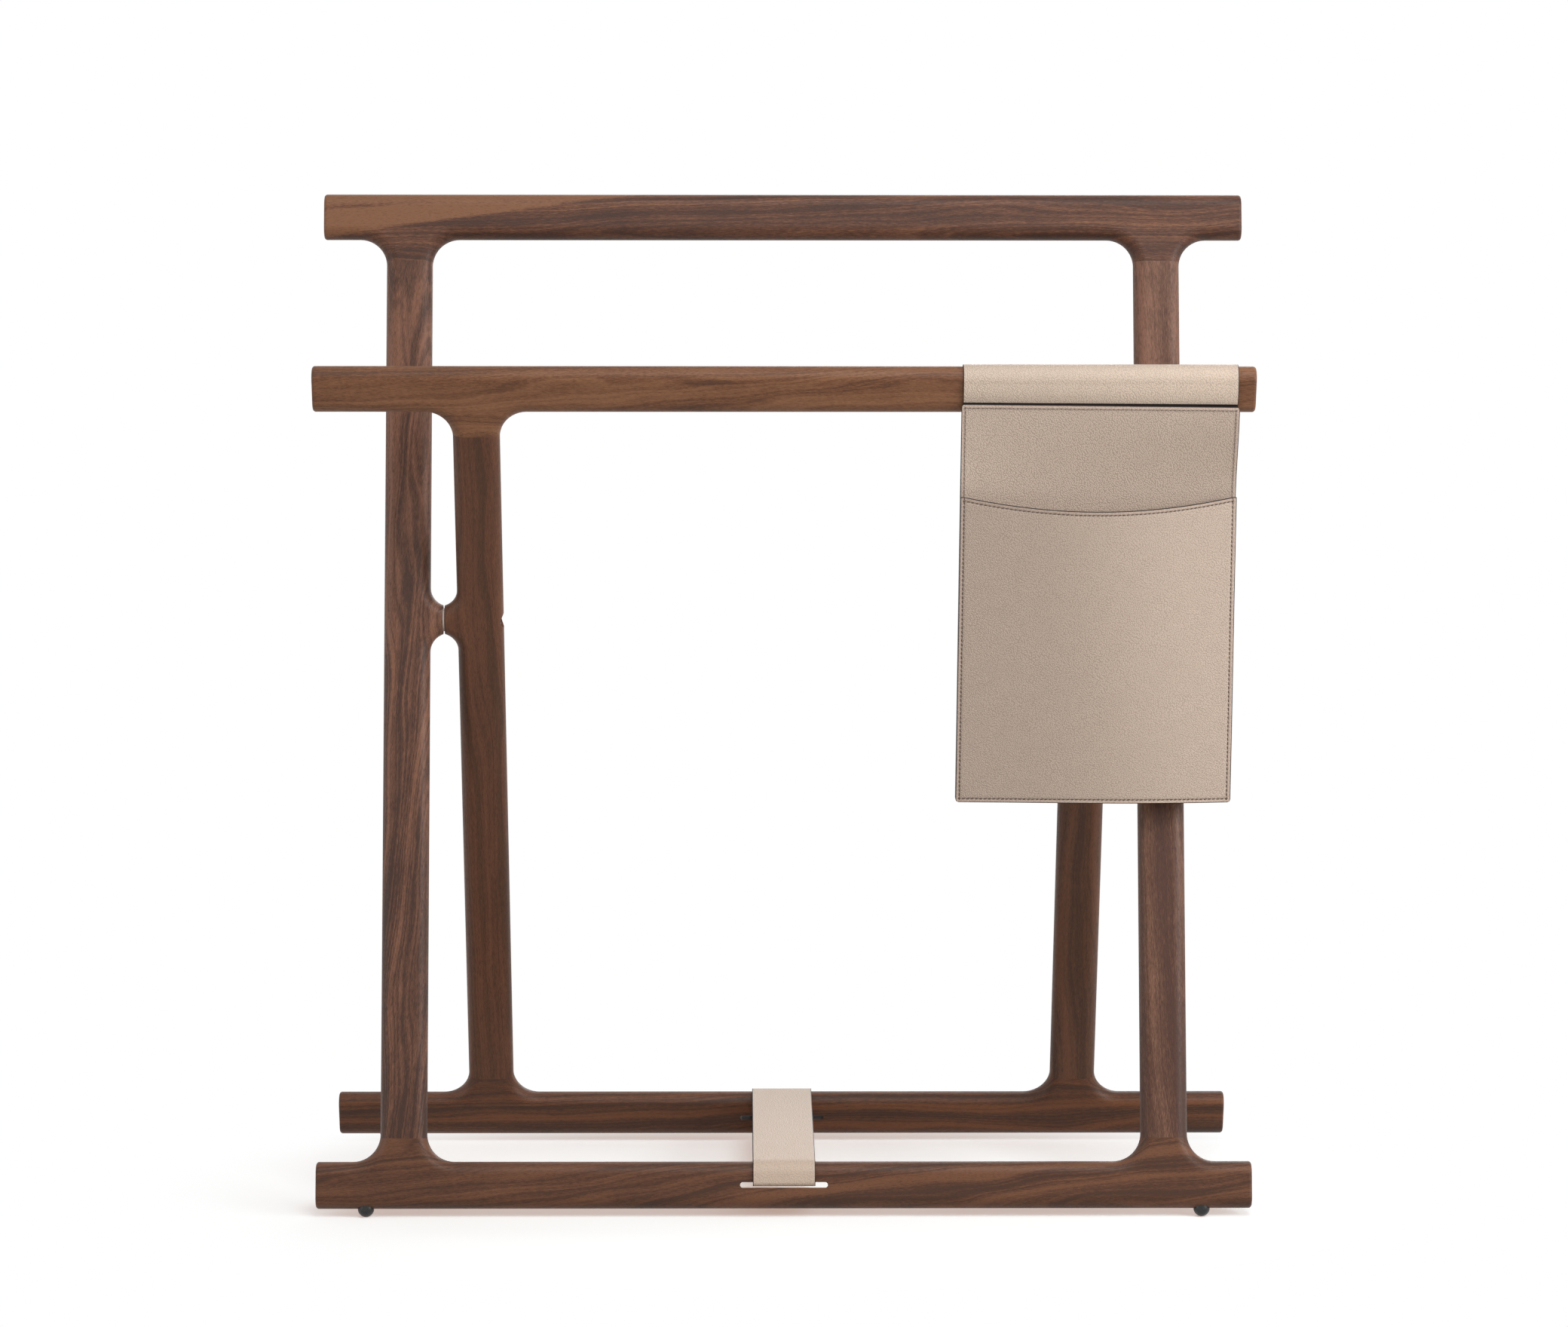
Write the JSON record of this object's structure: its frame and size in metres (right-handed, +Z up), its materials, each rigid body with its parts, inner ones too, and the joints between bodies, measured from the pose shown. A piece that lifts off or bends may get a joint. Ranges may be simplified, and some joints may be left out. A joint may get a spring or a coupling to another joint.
{
  "type": "folding rail rack",
  "caption": "Free-standing folding rack: crossed hardwood frames with full-round rails turn on side pivots, a strap limits their spread, and a flat leather pocket hangs on the front rail.",
  "frame": {"origin": "on the floor, midway between the two pivots", "axes": "+Z up, +X along the rails to the right as seen from the front, -Y towards the front"},
  "size_m": [0.6, 0.2086, 0.6429],
  "materials": {
    "walnut_dark": "oiled walnut, mid to dark brown, satin",
    "walnut_light": "oiled walnut, lighter and warmer board, satin",
    "beech": "pressed beech loose tenons, hidden in the joints",
    "leather": "taupe pebble-grained leather with black painted edges and dark brown stitching",
    "steel": "satin stainless steel",
    "brass": "machined brass",
    "nylon": "natural white nylon",
    "rubber": "black rubber, matt"
  },
  "bodies": {
    "outer_frame": {"lower_front_rail": "walnut_dark", "upper_rear_rail": "walnut_dark", "outer_left_leg": "walnut_dark", "outer_right_leg": "walnut_dark", "lower_front_left_tenon": "beech", "lower_front_right_tenon": "beech", "upper_rear_left_tenon": "beech", "upper_rear_right_tenon": "beech", "left_pivot_bolt": "steel", "right_pivot_bolt": "steel", "left_pivot_insert": "brass", "right_pivot_insert": "brass", "left_pivot_washer": "nylon", "right_pivot_washer": "nylon", "front_left_glide": "rubber", "front_right_glide": "rubber", "tie_strap": "leather"},
    "inner_frame": {"upper_front_rail": "walnut_light", "lower_rear_rail": "walnut_dark", "inner_left_leg": "walnut_dark", "inner_right_leg": "walnut_dark", "upper_front_left_tenon": "beech", "upper_front_right_tenon": "beech", "lower_rear_left_tenon": "beech", "lower_rear_right_tenon": "beech", "left_pivot_sleeve": "brass", "right_pivot_sleeve": "brass", "rear_left_glide": "rubber", "rear_right_glide": "rubber", "pocket_hanger": "leather", "left_press_stud": "steel", "right_press_stud": "steel"},
    "pocket": {"pocket_back_leaf": "leather", "pocket_front_leaf": "leather", "pocket_welt": "leather"}
  },
  "joints": [
    {"name": "fold", "type": "hinge", "parent": "outer_frame", "child": "inner_frame", "pos_m": [0, 0, 0.37215], "axis": [1, 0, 0], "range_deg": [-22, 0], "deforming": ["tie_strap"]},
    {"name": "pocket_swing", "type": "hinge", "parent": "inner_frame", "child": "pocket", "pos_m": [0.201, -0.04903, 0.51803], "axis": [-1, 0, 0], "range_deg": [-1, 60]}
  ]
}
